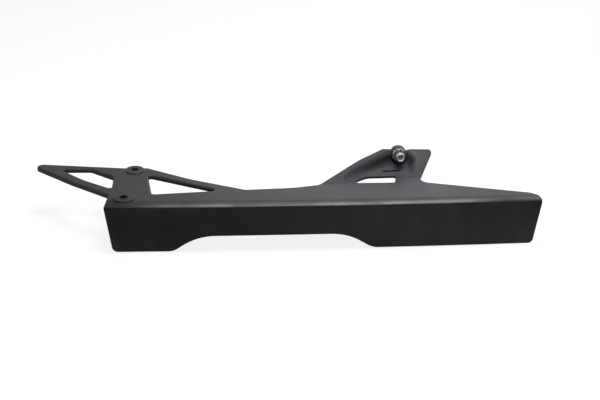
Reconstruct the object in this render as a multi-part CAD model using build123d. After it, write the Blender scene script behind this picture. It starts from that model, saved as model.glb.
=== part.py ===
"""Motorcycle chain guard: a moulded guard, the collar in its rear ear and the rear bolt.

The guard is drawn with the crease of its outer wall at y = 0 and the top of its flange at z = 0.
X runs from the front of the guard to its rear, Y runs inward from the outer wall and Z is up.
At the end every piece is moved so that the origin lies midway between the two front holes,
on the underside of the plate that they pass through.
"""

import os
from math import cos, radians, sin, sqrt, tan

from build123d import *

# Main lengths: the outer wall, and the nose ahead of its front end
WALL_FRONT_X = -166.6
WALL_LENGTH = 387.1
NOSE_LENGTH = 73.9
WALL_REAR_X = WALL_FRONT_X + WALL_LENGTH
NOSE_X = WALL_FRONT_X - NOSE_LENGTH

# Shell: the outer wall, the flange on top of it and the rear ear
SHELL_T = 2.5
CREASE_R = 4.0
WALL_RIM = 0.9
EDGE_ROUND = 0.9
BOW_R = 6500.0
BOW_X = 25.0

# Outer wall seen from its side: x, z and corner radius
LOBE_Z = -43.4
LOBE_FALL = 0.7
WAIST_Z = -28.9
WALL_SIDE = [
    (WALL_FRONT_X, 1.0, 0.0),
    (WALL_FRONT_X + 6.4, LOBE_Z, 5.5),
    (-108.4, LOBE_Z, 14.0),
    (-87.8, WAIST_Z, 50.0),
    (43.2, WAIST_Z, 50.0),
    (67.3, LOBE_Z, 20.0),
    (WALL_REAR_X - 3.6, LOBE_Z - LOBE_FALL, 4.5),
    (WALL_REAR_X, 1.0, 0.0),
]

# Flange and ear seen from above: x, y and corner radius
FLANGE_PLAN = [
    (WALL_FRONT_X - 1.8, -12.0, 0.0),
    (WALL_REAR_X + 1.5, -12.0, 0.0),
    (WALL_REAR_X + 0.9, 16.8, 14.0),
    (115.5, 45.6, 8.0),
    (139.3, 87.7, 3.0),
    (89.0, 85.2, 6.0),
    (63.8, 71.1, 120.0),
    (21.6, 41.4, 6.0),
    (0.0, 36.3, 120.0),
    (-50.0, 33.2, 0.0),
    (-56.0, 14.0, 0.0),
    (WALL_FRONT_X + 18.6, 14.0, 0.0),
    (WALL_FRONT_X + 14.6, 31.0, 0.0),
    (WALL_FRONT_X + 4.1, 31.0, 0.0),
]
BACK_EDGE_X = -44.0
BACK_EDGE_Y = 12.0

# Shallow facet at the front corner of the flange: two points on the flange, one below it
FACET_INNER = (WALL_FRONT_X + 2.7, 19.4, 0.0)
FACET_CREASE = (WALL_FRONT_X + 20.6, CREASE_R, 0.0)
FACET_CORNER = (WALL_FRONT_X + 0.6, 3.0, -1.2)

# Rear ear: a ramp that leaves the flange along a bend line
BEND_X = 21.6
BEND_Y = 42.0
BEND_ANGLE = 7.2
EAR_TILT = 25.8

# Pocket sunk into the ear around the bolt: x, y and corner radius
POCKET_FLOOR = 0.7
POCKET_BLEND = 9.0
POCKET_RIM = 6.5
POCKET_PLAN = [
    (-20.0, 19.1, 0.0),
    (4.0, -27.0, 0.0),
    (117.0, -27.0, 0.0),
    (117.0, 85.0, 10.0),
    (104.3, 85.0, 10.0),
]
EAR_WINDOW = [
    (52.9, 44.4, 2.5),
    (93.4, 44.4, 2.0),
    (97.4, 57.3, 2.0),
    (69.6, 56.4, 14.0),
]
SLIT_X = 95.9
SLIT_Y = 68.0
SLIT_TURN = 8.0
SLIT_LENGTH = 19.2
SLIT_WIDTH = 3.6

# Nose frame: thicker plate with two windows, seen from above: x, y and corner radius
FRAME_T = 4.0
FRAME_ROUND = 1.7
FRAME_PLAN = [
    (-158.0, 22.2, 3.0),
    (-197.2, 54.9, 80.0),
    (NOSE_X, 96.4, 4.9),
    (-152.0, 83.8, 12.0),
    (-131.0, 83.4, 6.0),
    (-92.3, 57.9, 40.0),
    (-39.0, 31.6, 3.0),
    (-46.0, 10.0, 3.0),
    (-150.0, 12.0, 3.0),
]
NOSE_WINDOW = [
    (NOSE_X + 31.2, 82.3, 1.8),
    (-186.6, 59.0, 60.0),
    (-161.5, 40.0, 2.0),
    (-161.3, 64.2, 3.5),
    (-182.0, 81.9, 6.0),
]
REAR_WINDOW = [
    (-126.4, 27.6, 3.0),
    (-66.4, 33.0, 2.5),
    (-130.6, 68.0, 2.5),
]

# Front holes and their raised bosses
FRONT_HOLES = [(-150.1, 20.3), (-142.6, 77.6)]
FRONT_HOLE_R = 3.5
FRONT_BOSS_R = [10.0, 9.1]
FRONT_BOSS_RISE = 1.0
FRONT_BOSS_CHAMFER = 0.8

# Rear bolt, its collar and the boss that holds them; their axis runs along Y
BOLT_X = 104.3
BOLT_Z = 12.0
REAR_BOSS_R = 7.5
REAR_BOSS_FRONT = 80.5
REAR_BOSS_BACK = 86.0
SPOT_FACE_R = 8.0
COLLAR_FLANGE_R = 6.8
COLLAR_FLANGE_T = 1.5
COLLAR_R = 4.5
COLLAR_BORE_R = 2.7
COLLAR_CHAMFER = 0.3
SHANK_R = 2.25
THREAD_R = 2.5
THREAD_GAP = 1.0
THREAD_LENGTH = 8.0
THREAD_CHAMFER = 0.5
HEAD_R = 4.25
HEAD_H = 5.0
NECK_R = 3.1
NECK_H = 2.6
HEAD_CHAMFER = 0.4
SOCKET_FLATS = 4.0
SOCKET_DEPTH = 2.6

# Tools that cut or trim reach past the part by its whole length
PLAN_X = [x for x, _, _ in FLANGE_PLAN + FRAME_PLAN]
REACH = max(PLAN_X) - min(PLAN_X)


def face_of(corners):
    """Face inside a closed outline of corners, each rounded by its own radius."""
    points = [(x, y) for x, y, _ in corners]
    radii = [r for _, _, r in corners]
    return make_face(FilletPolyline(*points, radius=radii, close=True))


def prism(corners, bottom, top):
    """Outline in plan, carried from the height bottom to the height top."""
    return Pos(0, 0, bottom) * extrude(face_of(corners), amount=top - bottom, dir=(0, 0, 1))


def rod(radius, front, back):
    """Round bar on the axis of the rear bolt, from y = front to y = back."""
    start = Plane(origin=(BOLT_X, front, BOLT_Z), x_dir=(1, 0, 0), z_dir=(0, 1, 0))
    return extrude(start * Circle(radius), amount=back - front)


def block(inset):
    """Wall and flange as one solid block with a bowed front, drawn in by inset."""
    radius = BOW_R - inset
    left, right = [
        (x, BOW_R - sqrt(radius**2 - (x - BOW_X) ** 2)) for x in (-REACH, REACH)
    ]
    front = ThreePointArc(left, (BOW_X, inset), right)
    rest = Polyline(right, (REACH, REACH), (-REACH, REACH), left)
    solid = Pos(0, 0, -REACH) * extrude(make_face(front + rest), amount=REACH - inset)
    crease = solid.edges().filter_by(GeomType.CIRCLE).sort_by(Axis.Z)[-1]
    return fillet(crease, CREASE_R - inset)


def ramp(inset):
    """Solid under the sloping plane of the ear, with that plane lowered by inset."""
    along = Vector(cos(radians(BEND_ANGLE)), sin(radians(BEND_ANGLE)), 0)
    across = Vector(-along.Y, along.X, 0)
    rise = tan(radians(EAR_TILT))
    drop = inset / cos(radians(EAR_TILT))
    lead, near, far = REACH / 12, -BEND_Y / 2, REACH / 4
    start = Plane(Vector(BEND_X, BEND_Y, 0) - along * lead, x_dir=across, z_dir=along)
    slope = [(near, near * rise - drop), (far, far * rise - drop)]
    profile = Polyline(*slope, (far, -far), (near, -far), close=True)
    return extrude(start * make_face(profile), amount=REACH / 2)


def pocket(inset):
    """Tool for the pocket in the ear, grown by inset and rounded along its floor."""
    plan = face_of(POCKET_PLAN)
    if inset:
        plan = offset(plan, amount=inset, kind=Kind.INTERSECTION)
    tool = Pos(0, 0, POCKET_FLOOR - inset) * extrude(plan, amount=REACH / 4)
    floor = tool.edges().group_by(Axis.Z)[0]
    walls = [edge for edge in floor if edge.center().Y > 0]
    return fillet(walls, POCKET_BLEND + inset)


def facet(inset):
    """Tool above the shallow facet at the front corner of the flange, lowered by inset."""
    inner, crease, corner = Vector(FACET_INNER), Vector(FACET_CREASE), Vector(FACET_CORNER)
    normal = (corner - inner).cross(crease - inner).normalized()
    seat = Plane(inner - normal * inset, x_dir=crease - inner, z_dir=normal)
    span = 4 * (crease - inner).length
    return seat * Box(span, span, span, align=(Align.CENTER, Align.CENTER, Align.MIN))


def ear(inset):
    """Ramp of the ear with its pocket, drawn in by inset; the outer skin has a round rim."""
    solid = ramp(inset) - pocket(inset)
    if inset:
        return solid
    slopes = [face for face in solid.faces() if abs(face.normal_at().Z - cos(radians(EAR_TILT))) < 1e-4]
    return fillet(slopes[0].inner_wires()[0].edges(), POCKET_RIM)


def outer_skin():
    """Everything under the outer surface of wall, flange and ear."""
    side = face_of(WALL_SIDE) + Pos(0, REACH / 2) * Rectangle(2 * REACH, REACH)
    solid = block(0.0) & extrude(Plane.XZ * side, amount=REACH, both=True)
    front = solid.faces().filter_by(GeomType.CYLINDER).sort_by(SortBy.RADIUS)[-1]
    rim = [edge for edge in front.edges() if edge.center().Z < -CREASE_R]
    return fillet(rim, WALL_RIM) + ear(0.0) - facet(0.0)


def inner_skin():
    """The same solid without its ends, drawn in by the thickness of the shell."""
    return block(SHELL_T) + ear(SHELL_T) - facet(SHELL_T)


def upper_edges(solid, corners, min_x=-REACH, min_y=-REACH):
    """Edges of the upward faces that follow an outline seen from above, beyond min_x and min_y."""
    outline = face_of(corners).wire()
    tops = [face for face in solid.faces() if face.normal_at().Z > 0.5]
    found = []
    for edge in [edge for face in tops for edge in face.edges()]:
        middle = edge.center()
        apart = outline.distance_to(Vector(middle.X, middle.Y, 0))
        if apart < 1e-3 and middle.X > min_x and middle.Y > min_y:
            found.append(edge)
    return found


def chain_guard():
    """The moulding: shell, nose frame, bosses and openings."""
    shell = (outer_skin() - inner_skin()) & prism(FLANGE_PLAN, -REACH, REACH)
    shell = fillet(upper_edges(shell, FLANGE_PLAN, BACK_EDGE_X, BACK_EDGE_Y), EDGE_ROUND)

    frame = prism(FRAME_PLAN, -FRAME_T, 0.0)
    for window in (NOSE_WINDOW, REAR_WINDOW):
        frame -= prism(window, -FRAME_T, 0.0)
    frame = fillet(frame.edges().group_by(Axis.Z)[-1], FRAME_ROUND)

    guard = shell + frame
    for (x, y), radius in zip(FRONT_HOLES, FRONT_BOSS_R):
        boss = extrude(Circle(radius), amount=FRAME_T + FRONT_BOSS_RISE)
        boss = chamfer(boss.edges().group_by(Axis.Z)[-1], FRONT_BOSS_CHAMFER)
        guard += Pos(x, y, -FRAME_T) * boss
    for x, y in FRONT_HOLES:
        guard -= Pos(x, y) * Cylinder(FRONT_HOLE_R, REACH)

    guard += rod(REAR_BOSS_R, REAR_BOSS_FRONT, REAR_BOSS_BACK)
    guard -= rod(SPOT_FACE_R, REAR_BOSS_FRONT - REACH, REAR_BOSS_FRONT)
    guard -= rod(COLLAR_R, -REACH, REACH)
    guard -= prism(EAR_WINDOW, -REACH, REACH)
    guard = fillet(upper_edges(guard, EAR_WINDOW), EDGE_ROUND)
    slit = Location((SLIT_X, SLIT_Y), SLIT_TURN) * SlotOverall(SLIT_LENGTH, SLIT_WIDTH)
    guard -= extrude(slit, amount=REACH, both=True)
    return guard


def front_rim(solid):
    """Outer edge of the foremost face of a turned piece."""
    return solid.edges().group_by(Axis.Y)[0].sort_by(SortBy.RADIUS)[-1]


def rear_collar():
    """Flanged sleeve that lines the hole in the ear."""
    front = REAR_BOSS_FRONT - COLLAR_FLANGE_T
    flange = rod(COLLAR_FLANGE_R, front, REAR_BOSS_FRONT)
    flange = chamfer(front_rim(flange), COLLAR_CHAMFER)
    return flange + rod(COLLAR_R, front, REAR_BOSS_BACK) - rod(COLLAR_BORE_R, -REACH, REACH)


def rear_bolt():
    """Socket-head cap screw: its neck sits on the collar, its thread stands free behind the boss."""
    seat = REAR_BOSS_FRONT - COLLAR_FLANGE_T
    back = seat - NECK_H
    front = back - HEAD_H
    thread = REAR_BOSS_BACK + THREAD_GAP
    head = rod(HEAD_R, front, back)
    head = chamfer(front_rim(head), HEAD_CHAMFER) + rod(NECK_R, back, seat)
    tip = rod(THREAD_R, thread, thread + THREAD_LENGTH)
    tip = chamfer(tip.edges().group_by(Axis.Y)[-1], THREAD_CHAMFER)
    mouth = Plane(origin=(BOLT_X, front, BOLT_Z), x_dir=(1, 0, 0), z_dir=(0, 1, 0))
    hexagon = RegularPolygon(SOCKET_FLATS / 2, 6, major_radius=False)
    socket = extrude(mouth * hexagon, amount=SOCKET_DEPTH)
    return head + rod(SHANK_R, seat, thread) + tip - socket


hole_a, hole_b = FRONT_HOLES
to_origin = Pos(-(hole_a[0] + hole_b[0]) / 2, -(hole_a[1] + hole_b[1]) / 2, FRAME_T)

os.makedirs("parts", exist_ok=True)
for name, piece in (
    ("chain_guard", chain_guard()),
    ("rear_collar", rear_collar()),
    ("rear_bolt", rear_bolt()),
):
    export_step(to_origin * piece, f"parts/{name}.step")
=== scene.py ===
"""Dresses the motorcycle chain guard.

Black moulded plastic, worn steel fasteners, and a plain studio around them.
"""

from math import cos, pi, radians, sin

import bmesh
import bpy
from bpy.props import FloatProperty, FloatVectorProperty, IntProperty, PointerProperty
from bpy.types import Operator, Panel, PropertyGroup
from mathutils import Matrix, Vector


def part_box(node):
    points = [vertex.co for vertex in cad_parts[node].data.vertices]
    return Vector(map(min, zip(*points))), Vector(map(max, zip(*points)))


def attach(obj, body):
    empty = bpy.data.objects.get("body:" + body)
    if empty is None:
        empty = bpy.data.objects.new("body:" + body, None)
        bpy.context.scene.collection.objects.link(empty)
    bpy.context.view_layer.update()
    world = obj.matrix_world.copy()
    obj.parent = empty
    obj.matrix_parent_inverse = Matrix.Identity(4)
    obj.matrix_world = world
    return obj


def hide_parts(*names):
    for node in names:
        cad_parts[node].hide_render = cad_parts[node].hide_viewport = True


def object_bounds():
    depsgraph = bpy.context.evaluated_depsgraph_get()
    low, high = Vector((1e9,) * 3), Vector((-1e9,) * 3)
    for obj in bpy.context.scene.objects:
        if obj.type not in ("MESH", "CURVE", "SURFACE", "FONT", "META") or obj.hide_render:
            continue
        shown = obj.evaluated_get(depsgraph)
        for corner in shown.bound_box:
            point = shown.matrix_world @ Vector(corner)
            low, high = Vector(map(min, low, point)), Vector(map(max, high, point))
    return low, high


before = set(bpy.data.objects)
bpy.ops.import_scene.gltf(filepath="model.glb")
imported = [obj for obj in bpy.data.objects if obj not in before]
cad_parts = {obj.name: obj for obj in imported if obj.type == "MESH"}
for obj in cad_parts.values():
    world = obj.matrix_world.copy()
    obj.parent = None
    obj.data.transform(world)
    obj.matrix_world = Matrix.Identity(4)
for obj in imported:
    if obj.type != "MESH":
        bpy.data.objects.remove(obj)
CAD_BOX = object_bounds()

bl_info = {
    "name": "Chain guard studio",
    "version": (1, 0, 0),
    "blender": (4, 5, 0),
    "location": "View3D > Sidebar > Chain guard",
    "description": "Finishes the packed chain guard and sets up its studio",
    "category": "Object",
}

BODY = "root"
MM = 0.001

# The wall is a slice of a wide drum, and its crease is a round that follows the drum's top. A facet
# that turns by more than the step across the crease is split.
BOW_CENTRE = Vector((171.35, 6451.05)) * MM
BOW_RADIUS = 6500.0 * MM
CREASE_ROUND = 4.0 * MM
CREASE_STEP = radians(9.0)

# How far a point may lie past the ends of that round, and off it, and still count as on it
END_SLACK = 0.05 * MM
ROUND_SLACK = 0.08 * MM

# A flat facet by the front corner touches the crease and is no part of it
FACET_NORMAL = Vector((-0.0565, -0.0657, 0.9962))
FACET_SLACK = radians(0.6)

# Points of a mesh that are closer than this are joined
WELD = 0.001 * MM

# Turned parts: points to a ring, and the angle below which an edge is shaded round
RING_POINTS = 72
TURNED_ANGLE = radians(30.0)

# Way from the guard's middle to each light, and the light's width and depth
TOP_WAY, TOP_SIZE = Vector((0.10, -0.01, 0.90)), (0.6, 0.5)
BACK_WAY, BACK_SIZE = Vector((0.45, 1.00, 0.50)), (1.2, 0.7)

# Own glow of the studio's paper, and the width of the camera's sensor in millimetres
PAPER_GLOW = 0.85
SENSOR = 36.0


# Settings that a user would change


class GuardSettings(PropertyGroup):
    """Finish of the black moulding."""

    colour: FloatVectorProperty(
        name="Plastic", description="Colour of the clean moulding", subtype="COLOR",
        size=3, min=0.0, max=1.0, default=(0.0240, 0.0213, 0.0264),
    )
    # Painted shade: a dark colour painted on the crease, on a strip of the flange beside it and at
    # the front corner
    crease_shade_colour: FloatVectorProperty(
        name="Wiped", description="Colour along the crease, which is wiped clean", subtype="COLOR",
        size=3, min=0.0, max=1.0, default=(0.008, 0.0075, 0.0085),
    )
    # Painted shade: the colour painted in the recesses and in the pocket by the bolt
    painted_shade_colour: FloatVectorProperty(
        name="Grime", description="Colour of dirt in recesses and oil by the bolt", subtype="COLOR",
        size=3, min=0.0, max=1.0, default=(0.010, 0.009, 0.009),
    )
    # Colour of the dust and scuffs, and of the painted light on the flange, the ear and its pocket
    dust_and_light_colour: FloatVectorProperty(
        name="Dust", description="Colour of the dust and scuffs on the plastic", subtype="COLOR",
        size=3, min=0.0, max=1.0, default=(0.071, 0.0645, 0.0755),
    )
    # Colour of the smears on the wall, and of the painted light on the low sides of the bars
    smear_and_light_colour: FloatVectorProperty(
        name="Smears", description="Colour of the dried dirt on the wall", subtype="COLOR",
        size=3, min=0.0, max=1.0, default=(0.085, 0.070, 0.067),
    )
    roughness: FloatProperty(
        name="Roughness", description="Roughness of the clean moulding", subtype="FACTOR",
        min=0.0, max=1.0, default=0.33,
    )
    grain: FloatProperty(
        name="Grain", description="Size of one dimple of the moulded grain", subtype="DISTANCE",
        unit="LENGTH", min=0.0001, max=0.01, default=0.0007,
    )
    gloss: FloatProperty(
        name="Crease gloss", description="Gloss that wear leaves on the crease", subtype="FACTOR",
        min=0.0, max=1.0, default=1.0,
    )
    smooth_angle: FloatProperty(
        name="Smooth below", description="Edges that turn by less than this are shaded round",
        subtype="ANGLE", min=0.0, max=pi, default=radians(21.0),
    )


class FastenerSettings(PropertyGroup):
    """Sizes and finish of the collar and the bolt."""

    colour: FloatVectorProperty(
        name="Zinc", description="Colour of the worn plating", subtype="COLOR",
        size=3, min=0.0, max=1.0, default=(0.46, 0.445, 0.44),
    )
    # Colour of the dark marks, and of the painted shade in the recesses of the collar and the bolt
    tarnish_and_shade_colour: FloatVectorProperty(
        name="Tarnish", description="Colour of the dark marks", subtype="COLOR",
        size=3, min=0.0, max=1.0, default=(0.052, 0.045, 0.042),
    )
    head_height: FloatProperty(
        name="Head", description="Height of the bolt's head", subtype="DISTANCE",
        unit="LENGTH", min=0.001, max=0.01, default=0.005,
    )
    neck_height: FloatProperty(
        name="Neck", description="Height of the neck under the head", subtype="DISTANCE",
        unit="LENGTH", min=0.0, max=0.01, default=0.0026,
    )
    rib_count: IntProperty(
        name="Ribs", description="Ribs around the bolt's head", min=8, max=120, default=36,
    )
    rib_height: FloatProperty(
        name="Rib height", description="Height of the ribs over the head's side",
        subtype="DISTANCE", unit="LENGTH", min=0.0, max=0.001, default=0.00012,
    )
    thread_radius: FloatProperty(
        name="Thread", description="Outer radius of the thread", subtype="DISTANCE",
        unit="LENGTH", min=0.001, max=0.01, default=0.0025,
    )
    thread_length: FloatProperty(
        name="Thread length", description="Length of the threaded end", subtype="DISTANCE",
        unit="LENGTH", min=0.002, max=0.05, default=0.008,
    )
    thread_pitch: FloatProperty(
        name="Thread pitch", description="Rise of the thread in one turn", subtype="DISTANCE",
        unit="LENGTH", min=0.0002, max=0.003, default=0.0008,
    )
    thread_depth: FloatProperty(
        name="Thread depth", description="Height of the thread over its core", subtype="DISTANCE",
        unit="LENGTH", min=0.0001, max=0.001, default=0.0004,
    )


class StageSettings(PropertyGroup):
    """Camera, floor and light."""

    lens: FloatProperty(
        name="Lens", description="Focal length on a 36 mm sensor, in millimetres",
        subtype="DISTANCE_CAMERA", min=10.0, max=200.0, default=54.0,
    )
    eye: FloatVectorProperty(
        name="Eye", description="Place of the camera", subtype="TRANSLATION", unit="LENGTH",
        size=3, default=(0.0436, -0.7349, 0.3475),
    )
    yaw: FloatProperty(
        name="Yaw", description="Turn of the view to the right", subtype="ANGLE",
        default=radians(8.5),
    )
    pitch: FloatProperty(
        name="Pitch", description="Tilt of the view below the horizon", subtype="ANGLE",
        default=radians(26.0),
    )
    roll: FloatProperty(
        name="Roll", description="Turn of the picture about the view", subtype="ANGLE",
        default=radians(2.8),
    )
    floor_colour: FloatVectorProperty(
        name="Floor", description="Colour of the floor and the backdrop", subtype="COLOR",
        size=3, min=0.0, max=1.0, default=(0.20, 0.20, 0.20),
    )
    top_power: FloatProperty(
        name="Top light", description="Power of the long light overhead", subtype="POWER",
        unit="POWER", min=0.0, default=9.5,
    )
    back_power: FloatProperty(
        name="Back light", description="Power of the light on the backdrop", subtype="POWER",
        unit="POWER", min=0.0, default=3.0,
    )
    sky: FloatProperty(
        name="Sky", description="Strength of the even light from all round",
        min=0.0, max=4.0, default=0.115,
    )


# Helpers for meshes


def new_piece(name, mesh, material, node):
    """Puts a finished mesh in the scene as the piece that stands for a node of the frame."""
    piece = bpy.data.objects.new(name, mesh)
    bpy.context.scene.collection.objects.link(piece)
    mesh.materials.clear()
    mesh.materials.append(material)
    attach(piece, BODY)
    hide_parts(node)
    return piece


def plain_mesh(piece, name):
    """Mesh of a piece with its modifiers worked in; the piece itself is taken away."""
    evaluated = piece.evaluated_get(bpy.context.evaluated_depsgraph_get())
    mesh = bpy.data.meshes.new_from_object(evaluated)
    mesh.name = name
    bpy.data.objects.remove(piece)
    return mesh


def shade_round(mesh, angle):
    """Shades a mesh round, apart from the edges that turn by more than an angle."""
    shape = bmesh.new()
    shape.from_mesh(mesh)
    for edge in shape.edges:
        edge.smooth = len(edge.link_faces) == 2 and edge.calc_face_angle(0.0) < angle
    for face in shape.faces:
        face.smooth = True
    shape.to_mesh(mesh)
    shape.free()


def crease_rise(point):
    """Way out of the drum at a point, and the point's place in the crease's own cross-section."""
    out = Vector((point.x, point.y)) - BOW_CENTRE
    return out.normalized(), Vector((out.length - BOW_RADIUS + CREASE_ROUND, point.z))


def crease_normal(point):
    """Normal of the wall's crease at a point, or None at a point that isn't on it."""
    out, rise = crease_rise(point)
    if min(rise) < -END_SLACK or abs(rise.length - CREASE_ROUND) > ROUND_SLACK:
        return None
    return Vector((out.x * rise.x, out.y * rise.x, rise.y)).normalized()


def on_crease(point):
    """Nearest point of the crease's round."""
    out, rise = crease_rise(point)
    rise = rise.normalized() * CREASE_ROUND
    side = BOW_CENTRE + out * (BOW_RADIUS - CREASE_ROUND + rise.x)
    return Vector((side.x, side.y, rise.y))


def cuts_crease(edge):
    """Tells if an edge runs through the crease as a long chord, between two facets of it."""
    ends = [crease_normal(vert.co) for vert in edge.verts]
    if not all(ends) or ends[0].angle(ends[1]) < CREASE_STEP:
        return False
    for face in edge.link_faces:
        beside = face.normal.angle(FACET_NORMAL) < FACET_SLACK
        if beside or not all(crease_normal(vert.co) for vert in face.verts):
            return False
    return True


def refine_crease(shape):
    """Splits the facets that cut across the crease, and sets the new points on its round."""
    chords = [edge for edge in shape.edges if cuts_crease(edge)]
    while chords:
        made = bmesh.ops.subdivide_edges(shape, edges=chords, cuts=1)["geom_inner"]
        for vert in (part for part in made if isinstance(part, bmesh.types.BMVert)):
            vert.co = on_crease(vert.co)
        bmesh.ops.triangulate(shape, faces=[face for face in shape.faces if len(face.verts) > 3])
        shape.normal_update()
        chords = [edge for edge in shape.edges if cuts_crease(edge)]


def even_crease(mesh):
    """Gives the facets of the long crease the normals of the true round that they stand for."""
    normals = [corner.vector.copy() for corner in mesh.corner_normals]
    for face in mesh.polygons:
        true = [crease_normal(mesh.vertices[index].co) for index in face.vertices]
        if all(true) and all(face.normal.angle(normal) < 2 * CREASE_STEP for normal in true):
            for corner, normal in zip(face.loop_indices, true):
                normals[corner] = normal
    mesh.normals_split_custom_set(normals)


def run_tree(mesh, name, tree, values):
    """Plain mesh that a geometry tree makes from a mesh; values go to its inputs, by name."""
    draft = bpy.data.objects.new(name + "_draft", mesh)
    bpy.context.scene.collection.objects.link(draft)
    maker = draft.modifiers.new(tree.name, "NODES")
    maker.node_group = tree
    for socket in tree.interface.items_tree:
        if socket.in_out == "INPUT" and socket.name in values:
            maker[socket.identifier] = values[socket.name]
    return plain_mesh(draft, name)


def ring(radius, place, count, axis):
    """Circle of points about an axis along Y, at the height place on that axis."""
    turns = [2 * pi * step / count for step in range(count)]
    return [(axis.x + radius * sin(turn), place, axis.z + radius * cos(turn)) for turn in turns]


def hexagon(flats, place, count, axis):
    """Hexagon drawn with the same number of points as a ring; flats is its width across flats."""
    points = []
    for step in range(count):
        turn = 2 * pi * step / count
        off = (turn + pi / 6) % (pi / 3) - pi / 6
        radius = flats / 2 / cos(off)
        points.append((axis.x + radius * sin(turn), place, axis.z + radius * cos(turn)))
    return points


def loft(loops, first=None, last=None):
    """Closed mesh through loops of equal count; its ends close in a point or join each other."""
    shape = bmesh.new()
    rows = [[shape.verts.new(point) for point in loop] for loop in loops]
    count = len(rows[0])
    pairs = list(zip(rows, rows[1:]))
    if first is None:
        pairs.append((rows[-1], rows[0]))
    for low, high in pairs:
        for step in range(count):
            after = (step + 1) % count
            shape.faces.new((low[step], low[after], high[after], high[step]))
    if first is not None:
        for row, point in ((rows[0], first), (rows[-1], last)):
            tip = shape.verts.new(point)
            for step in range(count):
                shape.faces.new((row[step], row[(step + 1) % count], tip))
    bmesh.ops.recalc_face_normals(shape, faces=shape.faces)
    mesh = bpy.data.meshes.new("loft")
    shape.to_mesh(mesh)
    shape.free()
    return mesh


# Helpers for nodes


def add(tree, kind, **values):
    """New node of a kind in a tree; values set its own options."""
    node = tree.nodes.new(kind)
    for option, value in values.items():
        setattr(node, option, value)
    return node


def put(tree, socket, value):
    """Feeds a socket: links it if the value is a socket, and sets it otherwise."""
    if isinstance(value, bpy.types.NodeSocket):
        tree.links.new(value, socket)
    else:
        socket.default_value = value


def blend(tree, factor, low, high):
    """Mix of two colours."""
    node = add(tree, "ShaderNodeMix", data_type="RGBA")
    for name, value in (("Factor_Float", factor), ("A_Color", low), ("B_Color", high)):
        socket = next(s for s in node.inputs if s.identifier == name)
        put(tree, socket, value)
    return next(s for s in node.outputs if s.identifier == "Result_Color")


def sums(tree, operation, first, *others):
    """Result of a sum on values, taken one after the other."""
    for value in others:
        node = add(tree, "ShaderNodeMath", operation=operation)
        put(tree, node.inputs[0], first)
        put(tree, node.inputs[1], value)
        first = node.outputs[0]
    return first


def spread(tree, value, low, high, to_low=0.0, to_high=1.0):
    """Value carried from the range low to high to another range, and held inside it."""
    node = add(tree, "ShaderNodeMapRange", clamp=True)
    for socket, figure in zip(node.inputs, (value, low, high, to_low, to_high)):
        put(tree, socket, figure)
    return node.outputs["Result"]


def place_on(tree):
    """Place on the piece, in the frame's own axes."""
    return add(tree, "ShaderNodeTexCoord").outputs["Object"]


def split(tree, vector):
    """The parts of a vector, by the names of their axes."""
    node = add(tree, "ShaderNodeSeparateXYZ")
    put(tree, node.inputs[0], vector)
    return node.outputs


def facing_on(tree):
    """The way that the surface faces, by the names of the axes."""
    return split(tree, add(tree, "ShaderNodeNewGeometry").outputs["Normal"])


def bumps(tree, height, strength, depth):
    """Normal of a surface that carries a height."""
    node = add(tree, "ShaderNodeBump")
    node.inputs["Strength"].default_value = strength
    node.inputs["Distance"].default_value = depth
    put(tree, node.inputs["Height"], height)
    return node.outputs["Normal"]


def clouds(tree, place, scale, detail, roughness=0.5):
    """Noise over a place."""
    node = add(tree, "ShaderNodeTexNoise")
    put(tree, node.inputs["Vector"], place)
    put(tree, node.inputs["Scale"], scale)
    put(tree, node.inputs["Detail"], detail)
    put(tree, node.inputs["Roughness"], roughness)
    return node.outputs["Fac"]


def stretched(tree, place, turn, size):
    """Place turned and drawn out, for marks that run one way."""
    node = add(tree, "ShaderNodeMapping")
    put(tree, node.inputs["Vector"], place)
    node.inputs["Rotation"].default_value = turn
    node.inputs["Scale"].default_value = size
    return node.outputs["Vector"]


def shader_group(name, inputs, outputs):
    """Empty shader group with named inputs, each with its value, and named outputs."""
    tree = bpy.data.node_groups.new(name, "ShaderNodeTree")
    for label, value in inputs:
        socket = tree.interface.new_socket(label, in_out="INPUT", socket_type="NodeSocketFloat")
        socket.default_value = value
    for label in outputs:
        tree.interface.new_socket(label, in_out="OUTPUT", socket_type="NodeSocketFloat")
    return tree, add(tree, "NodeGroupInput"), add(tree, "NodeGroupOutput")


def place_group(tree, group, **values):
    """A group set in a material, with its own values."""
    node = add(tree, "ShaderNodeGroup", node_tree=group)
    for label, value in values.items():
        put(tree, node.inputs[label.replace("_", " ").capitalize()], value)
    return node


# Effects that the materials share


def moulded_grain():
    """Fine dimples of a surface: a height that changes over the size of one dimple."""
    name = "Surface grain"
    if name in bpy.data.node_groups:
        return bpy.data.node_groups[name]
    tree, given, out = shader_group(name, [("Scale", 1400.0), ("Coarse", 0.35)], ["Height"])
    place = place_on(tree)
    fine = clouds(tree, place, given.outputs["Scale"], 2.0)
    wide = clouds(tree, place, sums(tree, "MULTIPLY", given.outputs["Scale"], 0.12), 3.0)
    wide = sums(tree, "MULTIPLY", wide, given.outputs["Coarse"])
    put(tree, out.inputs["Height"], sums(tree, "ADD", fine, wide))
    return tree


# Turn and stretch of each set of scuffs, and of the smears
SCUFF_RUNS = (((0.0, 0.25, 0.05), (0.35, 9.0, 9.0)), ((0.0, -0.5, -0.1), (0.5, 12.0, 12.0)))
SMEAR_RUN = ((0.0, 0.6, 0.0), (1.0, 1.0, 0.45))


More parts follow.
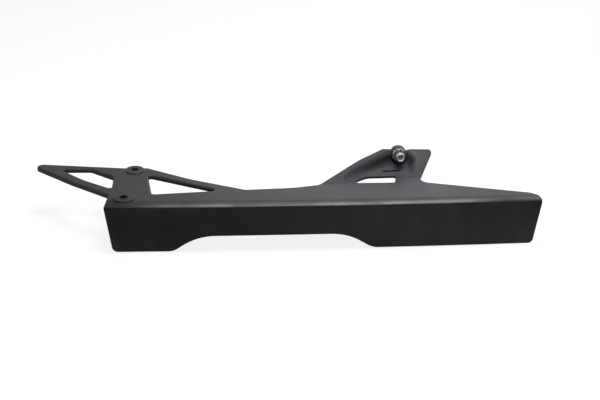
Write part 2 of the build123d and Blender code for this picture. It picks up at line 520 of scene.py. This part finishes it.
def handling_marks():
    """Marks that handling leaves: cloudy smudges, fine scuffs and drawn-out smears."""
    name = "Handling marks"
    if name in bpy.data.node_groups:
        return bpy.data.node_groups[name]
    tree, given, out = shader_group(name, [("Scale", 30.0)], ["Smudges", "Scuffs", "Smears"])
    place, scale = place_on(tree), given.outputs["Scale"]
    soft = clouds(tree, place, scale, 4.0, 0.6)
    put(tree, out.inputs["Smudges"], spread(tree, soft, 0.45, 0.72))
    fine = sums(tree, "MULTIPLY", scale, 2.6)
    scuffs = 0.0
    for turn, size in SCUFF_RUNS:
        lines = clouds(tree, stretched(tree, place, turn, size), fine, 3.0)
        scuffs = sums(tree, "MAXIMUM", scuffs, spread(tree, lines, 0.66, 0.76))
    patches = clouds(tree, place, sums(tree, "MULTIPLY", scale, 0.7), 2.0)
    scuffs = sums(tree, "MULTIPLY", scuffs, spread(tree, patches, 0.45, 0.65))
    put(tree, out.inputs["Scuffs"], scuffs)
    drawn = clouds(tree, stretched(tree, place, *SMEAR_RUN), scale, 6.0, 0.62)
    put(tree, out.inputs["Smears"], spread(tree, drawn, 0.40, 0.66))
    return tree


def rubbed_edges():
    """Mask of the outer edges, where a surface is rubbed first."""
    name = "Rubbed edges"
    if name in bpy.data.node_groups:
        return bpy.data.node_groups[name]
    tree, given, out = shader_group(name, [("Width", 0.0006), ("Break up", 400.0)], ["Mask"])
    bevel = add(tree, "ShaderNodeBevel", samples=4)
    put(tree, bevel.inputs["Radius"], given.outputs["Width"])
    match = add(tree, "ShaderNodeVectorMath", operation="DOT_PRODUCT")
    put(tree, match.inputs[0], bevel.outputs["Normal"])
    put(tree, match.inputs[1], add(tree, "ShaderNodeNewGeometry").outputs["Normal"])
    edge = spread(tree, match.outputs["Value"], 0.995, 0.9)
    patches = clouds(tree, place_on(tree), given.outputs["Break up"], 3.0)
    patches = spread(tree, patches, 0.42, 0.6)
    put(tree, out.inputs["Mask"], sums(tree, "MULTIPLY", edge, patches))
    return tree


def recess_shade():
    """Mask of painted shade in the recesses, where little light reaches."""
    name = "Recess grime"
    if name in bpy.data.node_groups:
        return bpy.data.node_groups[name]
    tree, given, out = shader_group(name, [("Reach", 0.01), ("Open", 0.8), ("Shut", 0.4)], ["Mask"])
    cover = add(tree, "ShaderNodeAmbientOcclusion", samples=8)
    put(tree, cover.inputs["Distance"], given.outputs["Reach"])
    painted_shade = spread(tree, cover.outputs["AO"], given.outputs["Open"], given.outputs["Shut"])
    put(tree, out.inputs["Mask"], painted_shade)
    return tree


# Where the moulding is dusty, smeared or shiny, and where light and shade are painted on it

# Each stop is a place along the guard, in metres, and the value there
# Painted light on the flange, the ear and its pocket, lighter towards the rear
FLANGE_LIGHT = ((0.06, 0.0), (0.14, 0.20), (0.24, 0.55), (0.27, 0.55), (0.30, 0.22), (0.34, 0.18))
EAR_LIGHT = ((0.250, 0.0), (0.262, 0.40))
POCKET_LIGHT = ((0.205, 0.0), (0.225, 0.45))
WALL_SMEARS = ((0.02, 0.75), (0.07, 0.20), (0.16, 0.15), (0.22, 0.50))
CORNER_PALENESS = ((0.29, 0.0), (0.36, 1.0))
# Painted shade at the front corner, along the guard
FRONT_SHADE = ((-0.010, 1.0), (0.005, 0.0))
CREASE_GLOSS = (
    (0.0, 0.0), (0.02, 0.35), (0.06, 0.85), (0.08, 0.85), (0.11, 0.45), (0.14, 0.45),
    (0.18, 1.0), (0.295, 1.0), (0.33, 0.35),
)

# Pools of painted shade in the pocket: the way to each from the collar, its size and its strength
SHADE_POOLS = (
    (Vector((-20.0, -6.6, 2.3)) * MM, Vector((22.0, 4.5, 4.5)) * MM, 0.70),
    (Vector((11.0, -3.0, 4.0)) * MM, Vector((6.0, 7.0, 9.0)) * MM, 0.5),
)
SHADE_TURN = (0.0, radians(-10.0), radians(28.0))


def along(tree, stops):
    """Value that changes along the guard from stop to stop."""
    place = split(tree, place_on(tree))
    value = stops[0][1]
    for (low, before), (high, after) in zip(stops, stops[1:]):
        value = sums(tree, "ADD", value, spread(tree, place["X"], low, high, 0.0, after - before))
    return value


def crease_strip(tree, far, near, most):
    """Mask of the crease, which rises over a strip of the flange beside it, from far to near."""
    flat = add(tree, "ShaderNodeVectorMath", operation="MULTIPLY")
    put(tree, flat.inputs[0], place_on(tree))
    flat.inputs[1].default_value = (1.0, 1.0, 0.0)
    apart = add(tree, "ShaderNodeVectorMath", operation="DISTANCE")
    put(tree, apart.inputs[0], flat.outputs[0])
    apart.inputs[1].default_value = (*BOW_CENTRE, 0.0)
    start = BOW_RADIUS - CREASE_ROUND
    close = spread(tree, apart.outputs["Value"], start - far, start - near, 0.0, most)
    return sums(tree, "MULTIPLY", close, spread(tree, facing_on(tree)["Z"], 0.1, 0.4))


def rear_painted_light(tree):
    """Painted light that grows from the front to the ear, most of all on the ear and in its pocket.
    """
    place = split(tree, place_on(tree))
    lifted = spread(tree, place["Z"], 6.0 * MM, 15.0 * MM)
    ear = sums(tree, "MULTIPLY", lifted, along(tree, EAR_LIGHT))
    sunk = spread(tree, place["Z"], 6.5 * MM, 5.5 * MM)
    inner = spread(tree, place["Y"], 6.0 * MM, 12.0 * MM)
    pocket = sums(tree, "MULTIPLY", sunk, inner, along(tree, POCKET_LIGHT))
    return sums(tree, "ADD", along(tree, FLANGE_LIGHT), ear, pocket)


def low_corner(tree):
    """Mask that grows towards the wall's low rear corner, where the wall is paler."""
    low = spread(tree, split(tree, place_on(tree))["Z"], -8.0 * MM, -38.0 * MM)
    return sums(tree, "MULTIPLY", low, along(tree, CORNER_PALENESS))


def lit_bar_sides(tree):
    """Mask of the low sides of the bars and the windows, where light is painted on to make them
    paler.
    """
    place = split(tree, place_on(tree))
    inner = spread(tree, place["Y"], -43.0 * MM, -40.0 * MM)
    low = spread(tree, place["Z"], 5.0 * MM, 4.2 * MM, 0.0, 0.7)
    return sums(tree, "MULTIPLY", inner, low)


def pocket_shade(tree):
    """Mask of painted shade in the pocket, in front of the bolt and behind it."""
    low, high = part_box("rear_collar")
    start = Vector(((low.x + high.x) / 2, low.y, low.z))
    place = place_on(tree)
    ragged = sums(tree, "MULTIPLY", clouds(tree, place, 140.0, 3.0), 0.4)
    pooled_shade = 0.0
    for way, size, most in SHADE_POOLS:
        pool = add(tree, "ShaderNodeMapping", vector_type="TEXTURE")
        put(tree, pool.inputs["Vector"], place)
        pool.inputs["Location"].default_value = start + way
        pool.inputs["Rotation"].default_value = SHADE_TURN
        pool.inputs["Scale"].default_value = size
        apart = add(tree, "ShaderNodeVectorMath", operation="LENGTH")
        put(tree, apart.inputs[0], pool.outputs["Vector"])
        reach = sums(tree, "ADD", apart.outputs["Value"], ragged)
        pooled_shade = sums(tree, "MAXIMUM", pooled_shade, spread(tree, reach, 1.25, 0.6, 0.0, most))
    return pooled_shade


def dust_and_light_share(tree, marks):
    """Share of dust and painted light: smudges, scuffs and rubbed edges, and painted light towards
    the rear.
    """
    edges = place_group(tree, rubbed_edges(), width=0.5 * MM)
    smudges = sums(tree, "MULTIPLY", marks.outputs["Smudges"], 0.30)
    scuffs = sums(tree, "MULTIPLY", marks.outputs["Scuffs"], 0.55)
    rubbed = sums(tree, "MULTIPLY", edges.outputs["Mask"], 0.28)
    return sums(tree, "ADD", smudges, scuffs, rubbed, rear_painted_light(tree))


def smear_and_light_share(tree, marks, facing):
    """Share of dried dirt on the wall's outer face, paler towards its low rear corner, and of
    painted light on the low sides of the bars.
    """
    smears = sums(tree, "MULTIPLY", marks.outputs["Smears"], along(tree, WALL_SMEARS))
    smears = sums(tree, "ADD", smears, low_corner(tree))
    smears = sums(tree, "MULTIPLY", smears, spread(tree, facing["Y"], -0.7, -0.95))
    sides = sums(tree, "MULTIPLY", lit_bar_sides(tree), spread(tree, facing["Y"], -0.4, -0.8))
    return sums(tree, "MAXIMUM", smears, sides)


def crease_shade_share(tree):
    """Share of painted shade on the crease and beside it, wider at the front corner."""
    corner = crease_strip(tree, 15.0 * MM, 10.0 * MM, 1.0)
    corner = sums(tree, "MULTIPLY", corner, along(tree, FRONT_SHADE))
    return sums(tree, "MAXIMUM", crease_strip(tree, 9.5 * MM, 5.5 * MM, 0.8), corner)


def painted_shade_share(tree):
    """Share of painted shade: a little in all recesses, and more in the pocket by the bolt."""
    painted_shade = place_group(tree, recess_shade(), reach=10.0 * MM, open=0.62, shut=0.25)
    return sums(tree, "MAXIMUM", sums(tree, "MULTIPLY", painted_shade.outputs["Mask"], 0.3), pocket_shade(tree))


def crease_gloss(tree, marks, facing, gloss):
    """Shine on the upper half of the crease, broken up by smudges."""
    strip = crease_strip(tree, 3.5 * MM, -1.0 * MM, 1.0)
    upper = spread(tree, facing["Z"], 0.60, 0.88)
    patches = spread(tree, marks.outputs["Smudges"], 0.0, 1.0, gloss, 0.35 * gloss)
    return sums(tree, "MULTIPLY", strip, upper, along(tree, CREASE_GLOSS), patches)


# Materials


def new_material(name):
    """New material, with its tree and its main shader."""
    material = bpy.data.materials.new(name)
    material.use_nodes = True
    tree = material.node_tree
    return material, tree, tree.nodes["Principled BSDF"]


def black_plastic(settings):
    """Satin black moulding with a fine grain, dust, smears and a shiny crease, with painted light
    towards the rear and on the bar sides, and painted shade by the crease, in the recesses and in
    the pocket.
    """
    material, tree, shader = new_material("black_moulded_plastic")
    marks = place_group(tree, handling_marks(), scale=26.0)
    facing = facing_on(tree)
    colour = (*settings.colour, 1.0)
    for share, over in (
        (dust_and_light_share(tree, marks), settings.dust_and_light_colour),
        (smear_and_light_share(tree, marks, facing), settings.smear_and_light_colour),
        (crease_shade_share(tree), settings.crease_shade_colour),
        (painted_shade_share(tree), settings.painted_shade_colour),
    ):
        colour = blend(tree, share, colour, (*over, 1.0))
    put(tree, shader.inputs["Base Color"], colour)
    clean = settings.roughness
    rough = spread(tree, marks.outputs["Smudges"], 0.0, 1.0, clean, clean + 0.12)
    put(tree, shader.inputs["Roughness"], rough)
    put(tree, shader.inputs["Coat Weight"], crease_gloss(tree, marks, facing, settings.gloss))
    shader.inputs["Coat Roughness"].default_value = 0.56
    shader.inputs["Coat IOR"].default_value = 1.8
    shader.inputs["Specular IOR Level"].default_value = 0.10
    grain = place_group(tree, moulded_grain(), scale=1.0 / settings.grain)
    scuffs = sums(tree, "MULTIPLY", marks.outputs["Scuffs"], 0.5)
    height = sums(tree, "SUBTRACT", grain.outputs["Height"], scuffs)
    put(tree, shader.inputs["Normal"], bumps(tree, height, 0.16, 0.2 * MM))
    return material


def worn_zinc(name, settings, blotch_scale, blotch_low):
    """Zinc plating gone patchy: dull metal with dark marks, bare rubbed edges and painted shade in
    its recesses.
    """
    material, tree, shader = new_material(name)
    blotches = clouds(tree, place_on(tree), blotch_scale, 5.0, 0.65)
    blotches = spread(tree, blotches, blotch_low, blotch_low + 0.16)
    edges = place_group(tree, rubbed_edges(), width=0.3 * MM, break_up=1500.0)
    dark = sums(tree, "SUBTRACT", blotches, sums(tree, "MULTIPLY", edges.outputs["Mask"], 0.8))
    # Painted shade: darker in the recesses and on the sides that face away from the light overhead
    painted_shade = place_group(tree, recess_shade(), reach=4.0 * MM, open=0.70, shut=0.35)
    sides = spread(tree, facing_on(tree)["Z"], 0.7, 0.3)
    shaded_recesses = sums(tree, "MULTIPLY", painted_shade.outputs["Mask"], sides)
    dark = spread(tree, sums(tree, "MAXIMUM", dark, shaded_recesses), 0.0, 1.0)
    colour = blend(tree, dark, (*settings.colour, 1.0), (*settings.tarnish_and_shade_colour, 1.0))
    put(tree, shader.inputs["Base Color"], colour)
    put(tree, shader.inputs["Metallic"], spread(tree, dark, 0.0, 1.0, 1.0, 0.55))
    marks = place_group(tree, handling_marks(), scale=160.0)
    rough = spread(tree, marks.outputs["Smudges"], 0.0, 1.0, 0.30, 0.52)
    put(tree, shader.inputs["Roughness"], rough)
    grain = place_group(tree, moulded_grain(), scale=2600.0)
    height = sums(tree, "SUBTRACT", grain.outputs["Height"], dark)
    put(tree, shader.inputs["Normal"], bumps(tree, height, 0.25, 0.1 * MM))
    return material


def studio_paper(settings):
    """Matt pale paper of the floor and the backdrop, which glows white to the eye."""
    material, tree, shader = new_material("studio_paper")
    shader.inputs["Base Color"].default_value = (*settings.floor_colour, 1.0)
    shader.inputs["Roughness"].default_value = 1.0
    shader.inputs["Specular IOR Level"].default_value = 0.0
    shader.inputs["Emission Color"].default_value = (1.0, 1.0, 1.0, 1.0)
    glow = sums(tree, "MULTIPLY", seen_rays(tree), PAPER_GLOW)
    put(tree, shader.inputs["Emission Strength"], glow)
    return material


def seen_rays(tree):
    """One for what the eye, a reflection or a clear body sees, and nought for light on its way."""
    path = add(tree, "ShaderNodeLightPath")
    seen = sums(tree, "MAXIMUM", path.outputs["Is Camera Ray"], path.outputs["Is Glossy Ray"])
    return sums(tree, "MAXIMUM", seen, path.outputs["Is Transmission Ray"])


# The moulding


class CHAINGUARD_OT_moulding(Operator):
    """Dress the moulding: join its facets, shade its rounds and give it its plastic"""

    bl_idname = "chainguard.moulding"
    bl_label = "Moulding"

    def execute(self, context):
        settings = context.scene.chainguard_moulding
        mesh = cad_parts["chain_guard"].data.copy()
        shape = bmesh.new()
        shape.from_mesh(mesh)
        bmesh.ops.remove_doubles(shape, verts=shape.verts, dist=WELD)
        refine_crease(shape)
        shape.to_mesh(mesh)
        shape.free()
        shade_round(mesh, settings.smooth_angle)
        piece = bpy.data.objects.new("moulding_draft", mesh)
        context.scene.collection.objects.link(piece)
        normals = piece.modifiers.new("Even rounds", "WEIGHTED_NORMAL")
        normals.keep_sharp = True
        normals.weight = 100
        final = plain_mesh(piece, "guard_moulding")
        even_crease(final)
        new_piece("guard_moulding", final, black_plastic(settings), "chain_guard")
        return {"FINISHED"}


# The collar


class CHAINGUARD_OT_collar(Operator):
    """Make the flanged collar that lines the hole in the rear ear"""

    bl_idname = "chainguard.collar"
    bl_label = "Rear collar"

    def execute(self, context):
        settings = context.scene.chainguard_fasteners
        low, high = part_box("rear_collar")
        axis = (low + high) / 2
        mesh = collar_mesh(low, high, axis)
        shade_round(mesh, TURNED_ANGLE)
        material = worn_zinc("worn_zinc_collar", settings, 520.0, 0.43)
        new_piece("rear_collar_dressed", mesh, material, "rear_collar")
        return {"FINISHED"}


def collar_mesh(low, high, axis):
    """Flanged sleeve with broken edges, between the front and back of its node."""
    outer = (high.x - low.x) / 2
    sleeve, bore, flange = 4.5 * MM, 2.7 * MM, 1.5 * MM
    cut = 0.3 * MM
    profile = [
        (bore + cut, low.y),
        (outer - cut, low.y),
        (outer - 0.3 * cut, low.y + 0.3 * cut),
        (outer, low.y + cut),
        (outer, low.y + flange),
        (sleeve, low.y + flange),
        (sleeve, high.y - cut),
        (sleeve - cut, high.y),
        (bore + cut, high.y),
        (bore, high.y - cut),
        (bore, low.y + cut),
    ]
    return loft([ring(radius, place, RING_POINTS, axis) for radius, place in profile])


# The bolt


class CHAINGUARD_OT_bolt(Operator):
    """Make the cap screw in the rear ear, with its socket, knurled head and thread"""

    bl_idname = "chainguard.bolt"
    bl_label = "Rear bolt"

    def execute(self, context):
        settings = context.scene.chainguard_fasteners
        low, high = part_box("rear_bolt")
        material = worn_zinc("worn_zinc_bolt", settings, 620.0, 0.55)
        rib, head = settings.rib_height, settings.head_height
        plain, shift = 1.0 * MM, 0.2 * MM
        wound = settings.thread_length - plain
        values = {
            "Rib count": settings.rib_count,
            "Rib radius": (high.x - low.x) / 2 - 2 * rib,
            "Rib width": 2.8 * rib,
            "Rib length": head - plain,
            "Rib place": head / 2 + shift,
            "Thread radius": settings.thread_radius - settings.thread_depth,
            "Thread depth": settings.thread_depth,
            "Thread turns": wound / settings.thread_pitch,
            "Thread length": wound,
            "Thread place": high.y - low.y - settings.thread_length + plain / 2,
            "Front": ((low.x + high.x) / 2, low.y, (low.z + high.z) / 2),
            "Material": material,
        }
        mesh = run_tree(bolt_core(low, high, settings), "rear_bolt_dressed", bolt_tree(), values)
        shade_round(mesh, TURNED_ANGLE)
        new_piece("rear_bolt_dressed", mesh, material, "rear_bolt")
        return {"FINISHED"}


def bolt_core(low, high, settings):
    """Head with a hexagon socket, neck, shank and core of the thread."""
    axis = (low + high) / 2
    head, cut, small = (high.x - low.x) / 2, 0.4 * MM, 0.2 * MM
    side = head - settings.rib_height
    back = low.y + settings.head_height
    seat = back + settings.neck_height
    neck, shank = 3.1 * MM, 2.25 * MM
    core = settings.thread_radius - settings.thread_depth
    thread = high.y - settings.thread_length
    flats, deep, drilled = 4.0 * MM, 2.6 * MM, 0.6 * MM
    mouth_wide, mouth_deep = 0.8 * MM, 0.9 * MM
    profile = [
        (flats / 2 / cos(pi / 6) + mouth_wide, low.y),
        (head - 1.3 * cut, low.y),
        (head - 0.4 * cut, low.y + 0.3 * cut),
        (head, low.y + 1.2 * cut),
        (side, low.y + 1.6 * cut),
        (side, back - small),
        (side - small, back),
        (neck, back),
        (neck, seat),
        (shank, seat),
        (shank, thread - small),
        (core, thread),
        (core, high.y - small),
        (core - small, high.y),
    ]
    loops = [hexagon(flats, low.y + place, RING_POINTS, axis) for place in (deep, mouth_deep)]
    loops += [ring(radius, place, RING_POINTS, axis) for radius, place in profile]
    bottom = (axis.x, low.y + deep + drilled, axis.z)
    tip = (axis.x, high.y, axis.z)
    return loft(loops, bottom, tip)


BOLT_SOCKETS = (
    ("Bolt", "NodeSocketGeometry"),
    ("Rib count", "NodeSocketInt"),
    ("Rib radius", "NodeSocketFloat"),
    ("Rib width", "NodeSocketFloat"),
    ("Rib length", "NodeSocketFloat"),
    ("Rib place", "NodeSocketFloat"),
    ("Thread radius", "NodeSocketFloat"),
    ("Thread depth", "NodeSocketFloat"),
    ("Thread turns", "NodeSocketFloat"),
    ("Thread length", "NodeSocketFloat"),
    ("Thread place", "NodeSocketFloat"),
    ("Front", "NodeSocketVector"),
    ("Material", "NodeSocketMaterial"),
)


def bolt_tree():
    """Tree that sets ribs around the head of a bolt and winds a thread on its core."""
    tree = bpy.data.node_groups.new("Bolt ribs and thread", "GeometryNodeTree")
    for name, kind in BOLT_SOCKETS:
        tree.interface.new_socket(name, in_out="INPUT", socket_type=kind)
    tree.interface.new_socket("Bolt", in_out="OUTPUT", socket_type="NodeSocketGeometry")
    given = add(tree, "NodeGroupInput").outputs
    both = add(tree, "GeometryNodeJoinGeometry")
    for piece in (bolt_ribs(tree, given), bolt_thread(tree, given)):
        tree.links.new(piece, both.inputs[0])
    laid = moved(tree, both.outputs[0], given["Front"], (-pi / 2, 0.0, 0.0))
    whole = add(tree, "GeometryNodeJoinGeometry")
    for piece in (given["Bolt"], laid):
        tree.links.new(piece, whole.inputs[0])
    real = add(tree, "GeometryNodeRealizeInstances")
    put(tree, real.inputs[0], whole.outputs[0])
    dressed = add(tree, "GeometryNodeSetMaterial")
    put(tree, dressed.inputs["Geometry"], real.outputs[0])
    put(tree, dressed.inputs["Material"], given["Material"])
    put(tree, add(tree, "NodeGroupOutput").inputs[0], dressed.outputs[0])
    return tree


def bolt_ribs(tree, given):
    """Small square bars around the head, each with one corner outward."""
    circle = add(tree, "GeometryNodeMeshCircle")
    put(tree, circle.inputs["Vertices"], given["Rib count"])
    put(tree, circle.inputs["Radius"], given["Rib radius"])
    size = add(tree, "ShaderNodeCombineXYZ")
    for axis, name in (("X", "Rib width"), ("Y", "Rib width"), ("Z", "Rib length")):
        put(tree, size.inputs[axis], given[name])
    bar = add(tree, "GeometryNodeMeshCube")
    put(tree, bar.inputs["Size"], size.outputs[0])
    facing = add(tree, "FunctionNodeAlignRotationToVector", axis="X")
    put(tree, facing.inputs["Vector"], add(tree, "GeometryNodeInputPosition").outputs[0])
    bars = add(tree, "GeometryNodeInstanceOnPoints")
    put(tree, bars.inputs["Points"], circle.outputs[0])
    turned = moved(tree, bar.outputs["Mesh"], (0.0, 0.0, 0.0), (0.0, 0.0, pi / 4))
    put(tree, bars.inputs["Instance"], turned)
    put(tree, bars.inputs["Rotation"], facing.outputs[0])
    return raised(tree, bars.outputs[0], given["Rib place"])


def bolt_thread(tree, given):
    """Three-sided ridge wound along the core."""
    path = add(tree, "GeometryNodeCurveSpiral")
    path.inputs["Resolution"].default_value = 28
    for name, value in (("Rotations", "Thread turns"), ("Start Radius", "Thread radius"),
                        ("End Radius", "Thread radius"), ("Height", "Thread length")):
        put(tree, path.inputs[name], given[value])
    upright = add(tree, "GeometryNodeSetCurveNormal", mode="Z_UP")
    put(tree, upright.inputs["Curve"], path.outputs[0])
    profile = add(tree, "GeometryNodeCurvePrimitiveCircle")
    profile.inputs["Resolution"].default_value = 3
    put(tree, profile.inputs["Radius"], given["Thread depth"])
    ridge = add(tree, "GeometryNodeCurveToMesh")
    put(tree, ridge.inputs["Curve"], upright.outputs[0])
    put(tree, ridge.inputs["Profile Curve"], profile.outputs["Curve"])
    ridge.inputs["Fill Caps"].default_value = True
    return raised(tree, ridge.outputs[0], given["Thread place"])


def moved(tree, piece, place, turn):
    """Piece carried to a place and turned."""
    node = add(tree, "GeometryNodeTransform")
    put(tree, node.inputs["Geometry"], piece)
    put(tree, node.inputs["Translation"], place)
    put(tree, node.inputs["Rotation"], turn)
    return node.outputs[0]


def raised(tree, piece, height):
    """Piece carried along the bolt's own axis."""
    place = add(tree, "ShaderNodeCombineXYZ")
    put(tree, place.inputs["Z"], height)
    return moved(tree, piece, place.outputs[0], (0.0, 0.0, 0.0))


# The studio


class CHAINGUARD_OT_stage(Operator):
    """Set up the floor, the backdrop, the light and the camera"""

    bl_idname = "chainguard.stage"
    bl_label = "Studio"

    def execute(self, context):
        settings = context.scene.chainguard_stage
        make_backdrop(context, settings)
        make_lights(context, settings)
        make_world(context, settings)
        make_camera(context, settings)
        context.scene.view_settings.view_transform = "Standard"
        return {"FINISHED"}


def make_backdrop(context, settings):
    """Paper that lies under the guard and curves up behind it."""
    ground = CAD_BOX[0].z - 0.1 * MM
    half, front, back, bend, height = 4.0, -4.0, 1.4, 0.7, 2.6
    steps = 16
    line = [(front, ground), (back, ground)]
    for step in range(1, steps + 1):
        turn = pi / 2 * step / steps
        line.append((back + bend * sin(turn), ground + bend * (1 - cos(turn))))
    line.append((back + bend, ground + height))
    shape = bmesh.new()
    left = [shape.verts.new((-half, y, z)) for y, z in line]
    right = [shape.verts.new((half, y, z)) for y, z in line]
    for step in range(len(line) - 1):
        face = shape.faces.new((left[step], right[step], right[step + 1], left[step + 1]))
        face.smooth = True
    mesh = bpy.data.meshes.new("studio_floor")
    shape.to_mesh(mesh)
    shape.free()
    floor = bpy.data.objects.new("studio_floor", mesh)
    mesh.materials.append(studio_paper(settings))
    context.scene.collection.objects.link(floor)


def add_light(context, name, place, target, size, power):
    """Soft rectangular light at a place, turned to a target."""
    lamp = bpy.data.lights.new(name, "AREA")
    lamp.shape = "RECTANGLE"
    lamp.size, lamp.size_y = size
    lamp.energy = power
    light = bpy.data.objects.new(name, lamp)
    light.visible_camera = False
    light.location = place
    light.rotation_euler = (Vector(target) - Vector(place)).to_track_quat("-Z", "Y").to_euler()
    context.scene.collection.objects.link(light)


def make_lights(context, settings):
    """A long soft light overhead and a wide one behind."""
    centre = (CAD_BOX[0] + CAD_BOX[1]) / 2
    top, back = centre + TOP_WAY, centre + BACK_WAY
    below = top - Vector((0.0, 0.0, 1.0))
    add_light(context, "top_light", top, below, TOP_SIZE, settings.top_power)
    add_light(context, "back_light", back, centre, BACK_SIZE, settings.back_power)


def make_world(context, settings):
    """Even light from all round, white to the eye."""
    world = bpy.data.worlds.new("studio_world")
    world.use_nodes = True
    tree = world.node_tree
    sky = tree.nodes["Background"]
    sky.inputs["Color"].default_value = (1.0, 1.0, 1.0, 1.0)
    put(tree, sky.inputs["Strength"], spread(tree, seen_rays(tree), 0.0, 1.0, settings.sky, 1.0))
    context.scene.world = world


def make_camera(context, settings):
    """Camera that stands where the reference view was taken."""
    data = bpy.data.cameras.new("view_camera")
    data.sensor_fit = "HORIZONTAL"
    data.sensor_width = SENSOR
    data.lens = settings.lens
    camera = bpy.data.objects.new("view_camera", data)
    ahead = Vector((sin(settings.yaw), cos(settings.yaw), 0.0))
    across = Vector((cos(settings.yaw), -sin(settings.yaw), 0.0))
    up = Vector((0.0, 0.0, 1.0))
    forward = ahead * cos(settings.pitch) - up * sin(settings.pitch)
    upright = ahead * sin(settings.pitch) + up * cos(settings.pitch)
    right = across * cos(settings.roll) + upright * sin(settings.roll)
    top = upright * cos(settings.roll) - across * sin(settings.roll)
    turn = Matrix((right, top, -forward)).transposed()
    camera.matrix_world = Matrix.Translation(settings.eye) @ turn.to_4x4()
    context.scene.collection.objects.link(camera)
    context.scene.camera = camera


# The panel and the add-on


class CHAINGUARD_PT_studio(Panel):
    """Lists the steps that dress the chain guard"""

    bl_idname = "CHAINGUARD_PT_studio"
    bl_label = "Chain guard"
    bl_space_type = "VIEW_3D"
    bl_region_type = "UI"
    bl_category = "Chain guard"

    def draw(self, context):
        for step in STEPS:
            self.layout.operator(step.bl_idname)
        for place in GROUPS:
            group, box = getattr(context.scene, place), self.layout.box()
            for name in group.__annotations__:
                box.prop(group, name)


STEPS = (CHAINGUARD_OT_moulding, CHAINGUARD_OT_collar, CHAINGUARD_OT_bolt, CHAINGUARD_OT_stage)
GROUPS = {
    "chainguard_moulding": GuardSettings,
    "chainguard_fasteners": FastenerSettings,
    "chainguard_stage": StageSettings,
}
CLASSES = (*GROUPS.values(), *STEPS, CHAINGUARD_PT_studio)


def register():
    """Adds the settings, the steps and the panel."""
    for cls in CLASSES:
        bpy.utils.register_class(cls)
    for place, group in GROUPS.items():
        setattr(bpy.types.Scene, place, PointerProperty(type=group))


def unregister():
    """Takes them away again."""
    for place in reversed(GROUPS):
        delattr(bpy.types.Scene, place)
    for cls in reversed(CLASSES):
        bpy.utils.unregister_class(cls)


def main():
    """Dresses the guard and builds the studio."""
    register()
    bpy.ops.chainguard.moulding()
    bpy.ops.chainguard.collar()
    bpy.ops.chainguard.bolt()
    bpy.ops.chainguard.stage()


if __name__ == "__main__":
    main()
